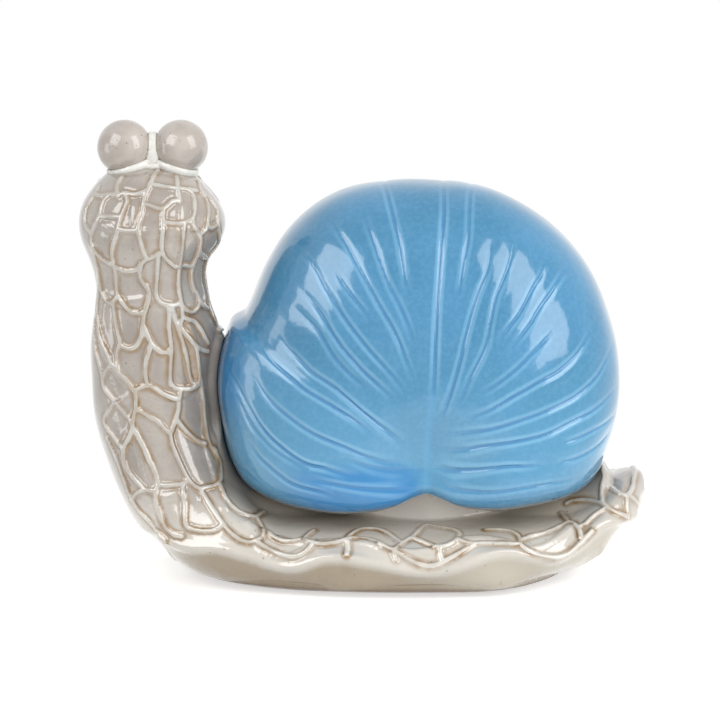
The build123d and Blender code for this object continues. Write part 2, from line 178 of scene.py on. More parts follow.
tail_ribs = (
    ((521, 540), (530, 536), (541, 533.5), (551, 530.5), (560, 526.5), (568.5, 522.5), (574, 524),
     (578, 527.5), (580, 532), (580, 538)),
    ((520.5, 544), (526, 549), (534, 553), (545, 556), (556, 557), (566, 554), (573, 549),
     (580, 543), (586, 537), (591, 532)),
    ((568.5, 522.5), (565, 518.5), (561, 514)),
    ((578.5, 527), (585, 524), (590.5, 518.5), (596, 513.5), (603, 509), (607, 507)),
    ((568, 508.5), (577, 505), (587, 502), (595, 501.5), (601, 503), (606, 507), (612, 510.5),
     (618, 513.5), (625, 516)),
    ((601.5, 503), (602, 496), (605, 490.5), (609, 486), (609, 481.5), (604.5, 477), (597.5, 473)),
    ((609, 486), (614.5, 490.5), (620.5, 494), (626, 495.5), (630, 492), (632.5, 486.5),
     (633.5, 479), (635, 470)),
    ((627, 496), (626.5, 504), (626.5, 511), (625, 516)),
    ((628.5, 495), (634, 499.5), (639, 505)),
)
# Soft ridge along the rim of the foot, above the smooth skirt
rim_ridge = (
    ((162, 536), (168, 541), (176, 545), (188, 548), (201, 548.5), (214, 548), (228, 551),
     (242, 555), (256, 559), (270, 564), (285, 567.5), (298, 567), (308, 563.5), (320, 559.5),
     (334, 558), (348, 559), (362, 561.5), (376, 564), (390, 567), (405, 570), (420, 572),
     (436, 572), (452, 569), (466, 564), (480, 558), (490, 555), (501, 553), (513, 553),
     (524, 555), (536, 558), (548, 559.5), (560, 558), (570, 552.5), (580, 544.5), (590, 534),
     (600, 526), (612, 521), (624, 518.5), (634, 517)),
)
# Pixel well inside the outline of each group, towards which a stray point moves
head_middle = (153, 215)
neck_middle = (155, 330)
chest_middle = (195, 480)
foot_middle = (380, 535)
tail_middle = (598, 505)
rim_middle = (400, 500)
shell_middle = (425, 350)

# Grooves between the shell's pleats, traced the same way, from the rim to the
# hub. The first number says how deep a groove is beside the deepest.
shell_grooves = (
    (0.7, ((384, 184), (389, 200), (394, 220), (399, 240), (402, 258), (405, 276), (408, 295))),
    (0.6, ((364, 214), (371, 234), (376.5, 250), (383, 269), (391, 289), (399, 304), (408, 325),
           (414, 345))),
    (0.8, ((329, 219), (339, 233), (347, 245), (356, 262), (364, 277), (373, 294), (382, 310),
           (390, 323), (397, 337), (403, 352), (409, 368), (414, 382))),
    (0.9, ((300, 250), (309, 260), (317, 270), (325, 286), (333, 299), (342, 314), (351, 327),
           (361, 340), (372, 353), (384, 366), (396, 380), (404, 390))),
    (0.6, ((336, 272), (344, 285), (352, 296), (361, 307), (368, 316))),
    (1.0, ((300, 289), (309, 297), (317, 308), (325, 320), (331, 331), (337, 340), (345, 351),
           (353, 360), (362, 370), (372, 379), (383, 389), (394, 399))),
    (0.6, ((297, 310), (308, 320), (318, 330), (326, 343), (333, 355), (342, 366), (353, 377),
           (365, 387))),
    (1.0, ((281, 338), (291, 351), (302, 362.5), (311, 371.5), (323, 379.5), (333, 386),
           (343, 394.5), (352, 402.5), (363, 412), (374, 421), (385, 429), (395, 437),
           (403, 444))),
    (1.0, ((262, 347), (271, 360), (282, 370.5), (294, 380.5), (304, 389), (316, 396.5),
           (329, 404), (340, 411), (352, 418.5), (362, 426), (370, 432))),
    (0.9, ((250, 369), (258, 382), (266, 395), (276, 406), (286, 414.5), (297, 423), (308, 430.5),
           (320, 437), (333, 442.5), (346, 448), (359, 454), (370, 458), (384, 462), (398, 464))),
    (0.5, ((345, 458), (360, 464), (373, 468), (390, 470.5), (408, 470))),
    (1.3, ((229, 370), (236, 382), (244, 398), (252, 412), (261, 425.5), (271, 437.5),
           (281, 446.5), (291, 454.5), (300, 460.5), (310, 465), (324, 468), (338, 472.5),
           (351, 476))),
    (0.7, ((238, 398), (246, 414), (255, 428), (265, 440), (276, 450.5), (291, 460.5),
           (305, 468))),
    (0.9, ((250, 442), (259, 456), (268, 465), (279, 474.5), (289, 482), (299, 486.5),
           (310, 489.5), (322, 492.5), (335, 497))),
    (0.8, ((313, 480), (332, 484), (351, 487.5), (369, 489.5), (390, 490.5), (410, 489.5))),
    (1.0, ((444, 184), (444, 215), (442, 243), (440, 270), (438, 297), (436.5, 323), (435.5, 350),
           (434.5, 376), (433, 405))),
    (0.6, ((472, 187), (470, 200), (468.5, 235), (465, 256), (461, 280), (458, 299))),
    (0.8, ((490, 245), (489, 262), (485, 277), (479, 291), (473, 310), (468.5, 327), (464.5, 343),
           (461, 359), (456.5, 375), (451.5, 391), (446, 406), (439.5, 424))),
    (0.7, ((513, 240), (511, 256), (507, 270), (502, 283), (496, 297), (491, 320), (487, 343),
           (480, 360), (472, 375), (465, 391), (457, 404))),
    (0.8, ((545, 262), (541, 275), (533, 288), (526, 302), (518, 316), (510, 326), (500, 340))),
    (0.9, ((565, 270), (558, 281), (551, 292), (543, 303), (536, 314), (531, 323), (523, 334),
           (512, 347))),
    (0.7, ((556, 328), (542, 344), (531, 355), (520, 366), (508, 376), (496, 385), (482, 394))),
    (1.0, ((590, 330), (584, 343), (576, 355), (567, 364), (557, 372), (546, 378), (536, 383.5),
           (525, 390), (514, 396), (503, 403), (490, 410), (479, 414.5), (467, 418))),
    (0.9, ((612, 345), (608, 356), (603, 366), (598, 375), (590, 384), (581, 392), (570, 399.5),
           (553, 408), (536, 415), (520, 420.5), (505, 425.5), (490, 429.5), (472, 432),
           (455, 433.5), (440, 434.5))),
    (1.0, ((616, 388), (608, 397), (600, 405), (590, 412), (577, 419), (567, 424), (557, 429.5),
           (544, 435), (529, 439), (514, 442), (496, 444.5), (480, 447), (466, 449.5), (452, 450),
           (440, 449.5))),
    (0.7, ((614, 415), (604, 424), (591, 431), (577, 438), (562, 443))),
    (0.7, ((609, 432), (600, 443), (588, 452), (573, 459), (558, 463))),
    (0.9, ((434, 466.5), (448, 469.5), (461, 470.5), (476, 470), (491, 468.5), (509, 466.5),
           (527, 466), (542, 464.5))),
    (0.6, ((438, 481), (450, 488), (468, 491.5), (490, 492.5), (509, 490.5), (536, 486),
           (560, 482), (577, 478.5))),
)
# Fold of the shell, from the notch up past the hub
crease = ((427, 503), (427, 485), (427.5, 465), (429, 440), (431, 415), (433, 398))

# Outline of the shell round its hub, as in the construction: X is a share of
# the length, Z a share of the rise, or of the drop below zero.
shell_outline_shares = (
    (0.000, -0.65), (-0.102, -0.91), (-0.212, -1.00), (-0.301, -0.95), (-0.375, -0.775),
    (-0.431, -0.50), (-0.466, -0.05), (-0.487, 0.126), (-0.494, 0.267), (-0.475, 0.409),
    (-0.436, 0.537), (-0.389, 0.700), (-0.321, 0.845), (-0.224, 0.950), (-0.112, 0.995),
    (0.007, 1.000), (0.122, 0.983), (0.228, 0.919), (0.321, 0.820), (0.399, 0.683),
    (0.450, 0.524), (0.478, 0.346), (0.480, 0.168), (0.459, 0.020), (0.429, -0.40),
    (0.382, -0.675), (0.305, -0.84), (0.203, -0.94), (0.104, -0.89),
)
outline_count = len(shell_outline_shares)
shell_length = 142.8 * MM
shell_rise = 94.8 * MM           # crown 0.6 mm below the solid's, as photographed
shell_depth = 88.0 * MM
lobe_drop = 19.8 * MM
hub_radius = 3.0 * MM
hub_height = 46.0 * MM
lip_height = 3.2 * MM
lip_start = 3.0                  # the lip grows from this point of the outline
lip_full = 5.5
lip_step = 9.3                   # and ends in a step up here
lip_end = 9.8
round_power = 2.3                # roundness of a pleat over the top
lobe_power = 1.3                 # added beside the notch, where the lobes are fuller
front_reach = 7.5                # points of the outline over which it changes
rear_reach = 5.0
crest_share = 0.947              # where the bulge of a pleat peaks, of its full round
dimple_share = 0.15              # depth of the soft hollow round the hub
dimple_reach = 21.0 * MM


def smooth_step(value, start, end):
    """0 before start, 1 after end, with a soft change between, also on arrays."""
    t = np.clip((value - start) / (end - start), 0.0, 1.0)
    return t * t * (3 - 2 * t)


def linear(hex_colour):
    """sRGB hex value as the linear colour that the shaders take."""
    parts = [int(hex_colour[i:i + 2], 16) / 255 for i in (1, 3, 5)]
    return tuple(p / 12.92 if p <= 0.04045 else ((p + 0.055) / 1.055) ** 2.4 for p in parts) + (1,)


def spaced(points, spacing):
    """Points on a smooth curve through the given ones, about a spacing apart."""
    points = [np.array(p, float) for p in points]
    ends = [2 * points[0] - points[1]] + points + [2 * points[-1] - points[-2]]
    line = []
    for a, b, c, d in zip(ends, ends[1:], ends[2:], ends[3:]):
        count = max(1, int(np.linalg.norm(c - b) / spacing + 0.5))
        for k in range(count):
            t = k / count
            line.append((2 * b + (c - a) * t + (2 * a - 5 * b + 4 * c - d) * t ** 2
                         + (3 * b - a - 3 * c + d) * t ** 3) / 2)
    line.append(points[-1])
    return line


def photo_ray(pixel):
    """Direction from the camera through a pixel of the photograph."""
    across = (pixel[0] / photo_pixels - 0.5) * view_width
    up = (0.5 - pixel[1] / photo_pixels) * view_width
    return (view_ahead * view_distance + view_right * across + view_up * up).normalized()


end_reach = 3.5 * MM             # a rib that ends this near the middle plane runs on to it


def cast_line(pixels, surface, middle_pixel, spacing=0.7, search=14):
    """Lays a traced line onto a surface: its near half, down to the plane y = 0.
    A point just outside the outline moves in towards the piece's middle."""
    middle = Vector(middle_pixel)
    line = []
    for pixel in spaced(pixels, spacing):
        pixel = Vector(pixel)
        inward = (middle - pixel).normalized()
        for shift in range(search):
            hit = surface.ray_cast(view_place, photo_ray(pixel + inward * shift))[0]
            if hit is not None:
                break
        if hit is not None:
            line.append(Vector((hit.x, min(hit.y, 0.0), hit.z)))
    for end in (0, -1):
        if line and line[end].y > -end_reach:
            x, y, z = line[end]
            foot = surface.find_nearest(Vector((x, 0.0, z)))[0]
            line.insert(0 if end == 0 else len(line), Vector((foot.x, 0.0, foot.z)))
    return line


def piece_from(name, bm):
    """New object at the origin with this mesh; its place is in the mesh."""
    mesh = bpy.data.meshes.new(name)
    bm.to_mesh(mesh)
    bm.free()
    obj = bpy.data.objects.new(name, mesh)
    bpy.context.scene.collection.objects.link(obj)
    return obj


def apply_modifiers(obj):
    """Leaves the piece with its final mesh and no modifier."""
    graph = bpy.context.evaluated_depsgraph_get()
    mesh = bpy.data.meshes.new_from_object(obj.evaluated_get(graph))
    obj.modifiers.clear()
    obj.data = mesh


weld = 0.002 * MM
skin_lift = 0.02 * MM            # rays start this far off a face
open_enough = 3                  # ways out that make a face part of the outside
grazing = 0.05                   # a flatter look along a face doesn't count
look_directions = [Vector((x, y, z)).normalized() for x in (-1, 0, 1) for y in (-1, 0, 1)
                   for z in (-1, 0, 1) if x or y or z]


def outer_skin(node, holes=()):
    """Copy of a construction piece without the inside of the casting: only faces
    that see out stay. Holes are given by the X and Y of the middle, the radius,
    the lowest and highest Z of the wall and the depth of the blind floor, if any."""
    bm = bmesh.new()
    bm.from_mesh(node.data)
    bmesh.ops.remove_doubles(bm, verts=bm.verts, dist=weld)
    tree = BVHTree.FromBMesh(bm)
    hidden = []
    for face in bm.faces:
        middle = face.calc_center_median()
        start = middle + face.normal * skin_lift
        sees_out = [d for d in look_directions if d.dot(face.normal) > grazing]
        open_ways = 0
        for direction in [face.normal] + sees_out:
            if tree.ray_cast(start, direction)[0] is None:
                open_ways += 1
            if open_ways == open_enough:
                break
        in_hole = any(hypot(middle.x - x, middle.y - y) < radius - weld and low < middle.z < high
                      for x, y, radius, low, high, depth in holes)
        if open_ways < open_enough or in_hole:
            hidden.append(face)
    bmesh.ops.delete(bm, geom=hidden, context="FACES")
    rims = [edge for edge in bm.edges if edge.is_boundary]
    floors = bmesh.ops.holes_fill(bm, edges=rims, sides=0)["faces"]
    for face in floors:
        middle = face.calc_center_median()
        for x, y, radius, low, high, depth in holes:
            if depth and hypot(middle.x - x, middle.y - y) < radius:
                walls = bmesh.ops.extrude_discrete_faces(bm, faces=[face])["faces"]
                bmesh.ops.translate(bm, verts=walls[0].verts, vec=(0, 0, depth))
                break
    bmesh.ops.recalc_face_normals(bm, faces=bm.faces)
    return bm


def soften(obj, voxel, passes):
    """Casts the piece again as one smooth skin of even small faces."""
    remesh = obj.modifiers.new("remesh", "REMESH")
    remesh.mode = "VOXEL"
    remesh.voxel_size = voxel
    remesh.use_smooth_shade = True
    smooth = obj.modifiers.new("smooth", "SMOOTH")
    smooth.factor = 0.5
    smooth.iterations = passes
    apply_modifiers(obj)


def thin_out(obj, most):
    """Merges faces where the piece is flattest, down to so many triangles."""
    triangles = sum(len(face.vertices) - 2 for face in obj.data.polygons)
    thin = obj.modifiers.new("thin", "DECIMATE")
    thin.ratio = min(most / triangles, 1.0)
    apply_modifiers(obj)


def read_points(mesh, what="co"):
    data = np.empty(len(mesh.vertices) * 3, np.float32)
    mesh.vertices.foreach_get(what, data)
    return data.reshape(-1, 3).astype(float)


def write_points(mesh, points):
    mesh.vertices.foreach_set("co", points.astype(np.float32).ravel())
    mesh.update()


def store(mesh, name, values):
    """Keeps one number a point, which the material reads by its name."""
    attribute = mesh.attributes.new(name, "FLOAT", "POINT")
    attribute.data.foreach_set("value", values.astype(np.float32))


def near_lines(points, lines, spacing, fade=0.0):
    """For every point the distance to the nearest line, and that line's point,
    direction and strength there, which fades over a share of the line at its
    ends. Lines are (strength, points) pairs."""
    places, ways, strengths = [], [], []
    for strength, line in lines:
        fine = spaced(line, spacing)
        last = len(fine) - 1
        for k, place in enumerate(fine):
            places.append(place)
            ways.append(fine[min(k + 1, last)] - fine[max(k - 1, 0)])
            strengths.append(strength * min(1.0, (min(k, last - k) + 0.5) / (fade * last + 1e-9)))
    tree = KDTree(len(places))
    for k, place in enumerate(places):
        tree.insert(place, k)
    tree.balance()
    found = [tree.find(p) for p in points]
    index = np.array([f[1] for f in found])
    distance = np.array([f[2] for f in found])
    return distance, np.array(places)[index], np.array(ways)[index], np.array(strengths)[index]


def both_sides(lines):
    """The lines and their mirror images on the far side."""
    return lines + [(s, [Vector((p.x, -p.y, p.z)) for p in line]) for s, line in lines]


def waves(points, size, seed):
    """Slow unevenness of the hand-made form, from -1 to 1, a wave about a size long."""
    turn = np.array(((0.80, 0.36, -0.48), (-0.60, 0.48, -0.64), (0.0, 0.80, 0.60)))
    q = points @ turn.T / size * 2 * pi + seed
    first = np.sin(q[:, 0]) * np.sin(q[:, 1] + 1.3) + np.sin(q[:, 2] + 0.7)
    second = np.sin(q[:, 1] * 1.7 + 2.1) * np.sin(q[:, 2] * 1.9)
    return (first + 0.6 * second) / 2.6


hub_x = (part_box("shell_slip_seam")[0].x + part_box("shell_slip_seam")[1].x) / 2
drain_x = hub_x - 48.0 * MM
# Holes of the casting: X and Y, the radius and a little more, the lowest and highest
# Z of the wall with a margin, and how deep the drain looks from below
drain = (drain_x, 0.0, 7.1 * MM, -1 * MM, 7.5 * MM, 10 * MM)
vent = (hub_x, 0.0, 4.1 * MM, 20 * MM, 40 * MM, 0)

body_voxel = 0.66 * MM
body_smoothing = 4
body_triangles = 194000
body_wave = 46 * MM              # slow unevenness of the whole casting
body_wave_height = 0.35 * MM

rib_height = 0.60 * MM           # on top of the ribs that the solid has
rib_top = 0.35 * MM              # half-width of the rib's round top
rib_foot = 1.15 * MM             # half-width at its foot
rib_dip = 0.16 * MM              # shallow dip in the panel beside a rib
rib_dip_place = 1.5 * MM
rib_dip_width = 0.5 * MM
rib_spacing = 0.25 * MM          # of the points along a line

ridge_height = 1.4 * MM          # soft ridge along the rim of the foot
ridge_width = 2.2 * MM
ridge_spacing = 1.0 * MM
skirt_hollow = 1.9 * MM          # the skirt under it is hollow
skirt_span = 13.0                # millimetres from the ridge down to the sole
skirt_start = 0.3                # millimetres below the ridge where its colour starts
skirt_full = 3.5
skirt_near = 22 * MM             # the skirt reaches this far from the ridge
skirt_far = 30 * MM              # and is gone here
skirt_low = 26 * MM              # the same for its height
skirt_high = 40 * MM
sole_top = 3 * MM
sole_start = -0.75               # how far down a face of the sole looks
sole_full = -0.95

gap_filled = 2.2 * MM            # glaze fills a gap this wide between neck and shell
gap_filled_low = 6.6 * MM        # and this wide between foot and shell
gap_neck = 60 * MM               # heights between which the first turns into the second
gap_foot = 40 * MM
gap_soft = 2.2 * MM
gap_open = 8.8 * MM
fill_overlap = 0.05 * MM
fill_inside = 5.0 * MM           # half-width of the filled strip along the middle
fill_outside = 20.0 * MM
fill_top = 94 * MM               # no glaze bridges the two above this height
fill_whole = 85 * MM             # and all of it does below this one
painted_shade_reach = 9.0 * MM         # painted shade darkens the body this near to the shell


def body_glazed(shell):
    """Body casting: smooth skin, net of ribs, ridge of the rim and hollow skirt,
    with glaze that filled the narrow gap to the shell."""
    obj = piece_from("body_glazed", outer_skin(nodes["body_casting"], (drain, vent)))
    soften(obj, body_voxel, body_smoothing)
    mesh = obj.data
    skin = bmesh.new()
    skin.from_mesh(mesh)
    tree = BVHTree.FromBMesh(skin)
    skin.free()
    groups = ((head_ribs, head_middle), (neck_ribs, neck_middle), (chest_ribs, chest_middle),
              (foot_ribs, foot_middle), (tail_ribs, tail_middle))
    ribs = [(1.0, cast_line(line, tree, middle)) for lines, middle in groups for line in lines]
    ridge = [(1.0, cast_line(line, tree, rim_middle)) for line in rim_ridge]
    points = read_points(mesh)
    normals = read_points(mesh, "normal")
    rib_distance, _, _, _ = near_lines(points, both_sides(ribs), rib_spacing)
    ridge_distance, ridge_place, _, _ = near_lines(points, both_sides(ridge), ridge_spacing)
    below = (ridge_place[:, 2] - points[:, 2]) / MM
    low = (smooth_step(points[:, 2], skirt_high, skirt_low)
           * smooth_step(ridge_distance, skirt_far, skirt_near))
    skirt = smooth_step(below, skirt_start, skirt_full) * low
    sole = smooth_step(normals[:, 2], sole_start, sole_full) * (points[:, 2] < sole_top)
    rise = rib_height * (1 - smooth_step(rib_distance, rib_top, rib_foot))
    rise -= rib_dip * np.exp(-((rib_distance - rib_dip_place) / rib_dip_width) ** 2)
    rise += ridge_height * np.exp(-(ridge_distance / ridge_width) ** 2) * low
    rise -= skirt_hollow * np.sin(pi * np.clip(below / skirt_span, 0, 1)) * low
    rise += body_wave_height * waves(points, body_wave, seed=2.0)
    rise *= 1 - sole
    moved = points + normals * rise[:, None]
    solid = bmesh.new()
    solid.from_mesh(shell.data)
    shell_tree = BVHTree.FromBMesh(solid)
    solid.free()
    gap = np.full(len(moved), gap_open)
    shell_distance = np.full(len(moved), painted_shade_reach)
    near = np.flatnonzero(np.abs(moved[:, 0] - hub_x) < shell_length)
    for k in near:
        hit = shell_tree.ray_cast(Vector(moved[k]), Vector(normals[k]), gap_open)
        if hit[0] is not None:
            gap[k] = hit[3]
        nearest = shell_tree.find_nearest(Vector(moved[k]), painted_shade_reach)
        if nearest[0] is not None:
            shell_distance[k] = nearest[3]
    on_foot = smooth_step(moved[:, 2], gap_neck, gap_foot)
    filled = gap_filled + (gap_filled_low - gap_filled) * on_foot
    fill = (gap + fill_overlap) * (1 - smooth_step(gap - filled, 0.0, gap_soft))
    fill *= 1 - smooth_step(np.abs(moved[:, 1]), fill_inside, fill_outside)
    fill *= smooth_step(moved[:, 2], fill_top, fill_whole)
    moved += normals * fill[:, None]
    moved[:, 2] = np.maximum(moved[:, 2], 0.0)
    write_points(mesh, moved)
    store(mesh, "rib_mm", rib_distance / MM)
    store(mesh, "skirt", skirt)
    store(mesh, "sole", sole)
    store(mesh, "painted_crevice_shade", 1 - shell_distance / painted_shade_reach)
    thin_out(obj, body_triangles)
    return obj


shell_columns = 640
shell_rows = 152
pole_turn = 1e-6                 # a point this near the shell's pole lies on it
groove_depth = 0.40 * MM
groove_width = 0.42 * MM
groove_fade = 0.22               # share of a groove over which its ends fade
groove_widening = 1.2            # share added to its width at the hub
groove_widening_reach = 18 * MM
shoulder_height = 0.13 * MM      # rounded edge on one side of a groove
shoulder_place = 1.9 * MM
shoulder_width = 1.2 * MM
pleat_bulge = 0.30 * MM
pleat_bulge_reach = 3.5 * MM
fold_depth = 0.7 * MM
fold_width = 2.6 * MM
fold_fade = 0.35
shell_wave = 38 * MM             # slow unevenness of the whole casting
shell_wave_height = 0.25 * MM
line_spacing = 0.4 * MM


def shell_form(around, across):
    """Places on the smooth shell: around the outline, 0 to 1, and across it."""
    step = around * outline_count
    k = np.floor(step).astype(int)
    t = step - k
    table = np.array(shell_outline_shares)
    table[:, 0] *= shell_length
    table[:, 1] *= np.where(table[:, 1] > 0, shell_rise, lobe_drop)
    a, b, c, d = (table[(k + i - 1) % outline_count].T for i in range(4))
    x, z = ((2 * b + (c - a) * t + (2 * a - 5 * b + 4 * c - d) * t ** 2
             + (3 * b - a - 3 * c + d) * t ** 3) / 2)
    lip = smooth_step(step, lip_start, lip_full) * (1 - smooth_step(step, lip_step, lip_end))
    reach = np.hypot(x, z) + lip_height * lip
    slant = np.arctan2(z, x)
    to_notch = outline_count - step
    power = round_power + lobe_power * (np.exp(-(step / front_reach) ** 2)
                                        + np.exp(-(to_notch / rear_reach) ** 2))
    turn = (1 - np.abs(2 * across - 1)) * pi / 2
    out_share = np.sin(turn) ** (2 / power)
    depth_share = np.clip(np.cos(turn), 0, 1) ** (2 / power)
    r = hub_radius + (reach - hub_radius) * out_share
    r = np.where(turn < pole_turn, 0.0, r)
    hollow = 1 - dimple_share * np.exp(-(r / dimple_reach) ** 2)
    depth = shell_depth / 2 / crest_share * depth_share * hollow
    side = np.sign(across - 0.5)
    return np.stack((hub_x + r * np.cos(slant), side * depth, hub_height + r * np.sin(slant)), 1)


def shell_glazed():
    """Shell casting: fan of pleats with a groove between each two."""
    bm = bmesh.new()
    bmesh.ops.create_grid(bm, x_segments=shell_columns, y_segments=shell_rows, size=1.0)
    obj = piece_from("shell_glazed", bm)
    flat = read_points(obj.data)
    write_points(obj.data, shell_form((flat[:, 0] + 1) / 2, (flat[:, 1] + 1) / 2))
    bm = bmesh.new()
    bm.from_mesh(obj.data)
    bmesh.ops.remove_doubles(bm, verts=bm.verts, dist=0.01 * MM)
    bmesh.ops.recalc_face_normals(bm, faces=bm.faces)
    tree = BVHTree.FromBMesh(bm)
    bm.to_mesh(obj.data)
    bm.free()
    grooves = [(strength, cast_line(line, tree, shell_middle)) for strength, line in shell_grooves]
    folds = [(1.0, cast_line(crease, tree, shell_middle))]
    mesh = obj.data
    points = read_points(mesh)
    normals = read_points(mesh, "normal")
    distance, place, way, strength = near_lines(points, both_sides(grooves), line_spacing,
                                                groove_fade)
    fold_distance, _, _, fold_strength = near_lines(points, both_sides(folds), line_spacing,
                                                    fold_fade)
    across_way = np.cross(normals, way)
    across_way /= np.linalg.norm(across_way, axis=1)[:, None] + 1e-12
    signed = np.einsum("ij,ij->i", points - place, across_way)
    signed = np.where(points[:, 1] > 0, -signed, signed)
    from_hub = np.hypot(points[:, 0] - hub_x, points[:, 2] - hub_height)
    near_hub = np.exp(-(from_hub / groove_widening_reach) ** 2)
    distance = distance / (1 + groove_widening * near_hub)
    rise = -groove_depth * strength * np.exp(-(distance / groove_width) ** 2)
    shoulder = np.exp(-((signed - shoulder_place) / shoulder_width) ** 2)
    rise += shoulder_height * strength * shoulder
    rise += pleat_bulge * (1 - np.exp(-distance / pleat_bulge_reach))
    rise -= fold_depth * fold_strength * np.exp(-(fold_distance / fold_width) ** 2)
    rise += shell_wave_height * waves(points, shell_wave, seed=0.4)
    write_points(mesh, points + normals * rise[:, None])
    mesh.shade_smooth()
    x, z = points[:, 0] / MM, points[:, 2] / MM      # the glaze pooled on lip and sole
    on_lip = smooth_step(x, -38, -50) * smooth_step(z, 52, 72) * smooth_step(z, 108, 98)
    on_sole = smooth_step(z, 50, 43) * smooth_step(x, -34, -14) * smooth_step(x, 22, 17)
    store(mesh, "pool", np.maximum(on_lip, on_sole))
    store(mesh, "rim", smooth_step(-normals[:, 2], 0.82, 0.96))
    store(mesh, "groove_mm", distance / MM)
    store(mesh, "groove_depth", strength)
    store(mesh, "fold_mm", fold_distance / MM)
    return obj


eye_wave = 9 * MM                # a rolled ball isn't quite round
eye_wave_height = 0.06 * MM
roll_voxel = 0.32 * MM
roll_smoothing = 6
roll_swelling = 0.55 * MM
seam_voxel = 0.4 * MM
seam_smoothing = 3


def eye_glazed(node_name, name):
    """Ball of clay, rolled by hand, under a smooth glaze."""
    low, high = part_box(node_name)
    bm = bmesh.new()
    bmesh.ops.create_icosphere(bm, subdivisions=6, radius=(high.x - low.x) / 2)
    bmesh.ops.translate(bm, verts=bm.verts, vec=(low + high) / 2)
    obj = piece_from(name, bm)
    points = read_points(obj.data)
    normals = read_points(obj.data, "normal")
    rise = eye_wave_height * waves(points, eye_wave, seed=1.0)
    write_points(obj.data, points + normals * rise[:, None])
    obj.data.shade_smooth()
    return obj


def slip_roll():
    """Roll of slip round the balls: swollen, so that it touches them."""
    bm = bmesh.new()
    bm.from_mesh(nodes["eye_slip_bead"].data)
    bmesh.ops.remove_doubles(bm, verts=bm.verts, dist=weld)
    obj = piece_from("eye_slip_roll", bm)
    soften(obj, roll_voxel, roll_smoothing)
    points = read_points(obj.data)
    normals = read_points(obj.data, "normal")
    write_points(obj.data, points + normals * roll_swelling)
    return obj


def seam_slip():
    """Bare slip squeezed flat between the seat pad and the shell."""
    bm = bmesh.new()
    bm.from_mesh(nodes["shell_slip_seam"].data)
    bmesh.ops.remove_doubles(bm, verts=bm.verts, dist=weld)
    obj = piece_from("shell_seam_slip", bm)
    soften(obj, seam_voxel, seam_smoothing)
    return obj


# Materials

def add(tree, kind, inputs=None, **settings):
    """Adds a shader node with its settings; an input is a value or another socket."""
    made = tree.nodes.new(kind)
    for name, value in settings.items():
        setattr(made, name, value)
    for name, value in (inputs or {}).items():
        if isinstance(value, bpy.types.NodeSocket):
            tree.links.new(value, made.inputs[name])
        else:
            made.inputs[name].default_value = value
    return made


def material(name):
    """Empty node material with its output, and the place of every point in millimetres."""
    made = bpy.data.materials.new(name)
    made.use_nodes = True
    tree = made.node_tree
    tree.nodes.clear()
    output = add(tree, "ShaderNodeOutputMaterial")
    place = add(tree, "ShaderNodeTexCoord").outputs["Object"]
    in_mm = add(tree, "ShaderNodeVectorMath", {0: place, 1: (1000, 1000, 1000)},
                operation="MULTIPLY").outputs["Vector"]
    return made, tree, output, in_mm


def number(tree, name):
    return add(tree, "ShaderNodeAttribute", attribute_name=name).outputs["Fac"]


def clouds(tree, where, size_mm, detail=3.0, roughness=0.5):
    """Soft noise with blotches about a size across, in millimetres."""
    return add(tree, "ShaderNodeTexNoise", {"Vector": where, "Scale": 1 / size_mm,
                                            "Detail": detail, "Roughness": roughness}).outputs[0]


def ramp(tree, value, start, end, low=0.0, high=1.0):
    """Soft step from low, before start, to high, after end."""
    return add(tree, "ShaderNodeMapRange", {"Value": value, "From Min": start, "From Max": end,
                                            "To Min": low, "To Max": high},
               interpolation_type="SMOOTHSTEP").outputs[0]


def maths(tree, operation, a, b=0.0):
    return add(tree, "ShaderNodeMath", {0: a, 1: b}, operation=operation).outputs[0]


def blend(tree, share, first, second):
    """Mix of two colours, given as hex values or sockets."""
    def colour(c):
        return linear(c) if isinstance(c, str) else c
    return add(tree, "ShaderNodeMix", {"Factor": share, 6: colour(first), 7: colour(second)},
               data_type="RGBA").outputs[2]


def iron_specks(tree, where, spacing_mm, radius_mm, seldom):
    """1 in small round specks of iron that come through the glaze, 0 elsewhere."""
    cells = add(tree, "ShaderNodeTexVoronoi", {"Vector": where, "Scale": 1 / spacing_mm})
    distance = maths(tree, "MULTIPLY", cells.outputs["Distance"], spacing_mm)
    chance = add(tree, "ShaderNodeSeparateColor", {0: cells.outputs["Color"]}).outputs[0]
    here = ramp(tree, chance, seldom, 1.0)
    size = maths(tree, "MULTIPLY", here, radius_mm)
    near = maths(tree, "SUBTRACT", size, distance)
    return ramp(tree, near, 0.0, 0.18)


def glazed(tree, output, colour, roughness, bumps, coat=0.9, coat_ior=1.5):
    """Fired glaze: coloured body under a clear glossy layer."""
    normal = None
    for height, distance in bumps:
        inputs = {"Height": height, "Distance": distance, "Strength": 1.0}
        if normal is not None:
            inputs["Normal"] = normal
        normal = add(tree, "ShaderNodeBump", inputs).outputs[0]
    shader = add(tree, "ShaderNodeBsdfPrincipled", {
        "Base Color": colour, "Roughness": roughness, "Normal": normal, "IOR": 1.5,
        "Coat Weight": coat, "Coat Roughness": 0.04, "Coat IOR": coat_ior, "Coat Normal": normal,
    })
    tree.links.new(shader.outputs[0], output.inputs[0])


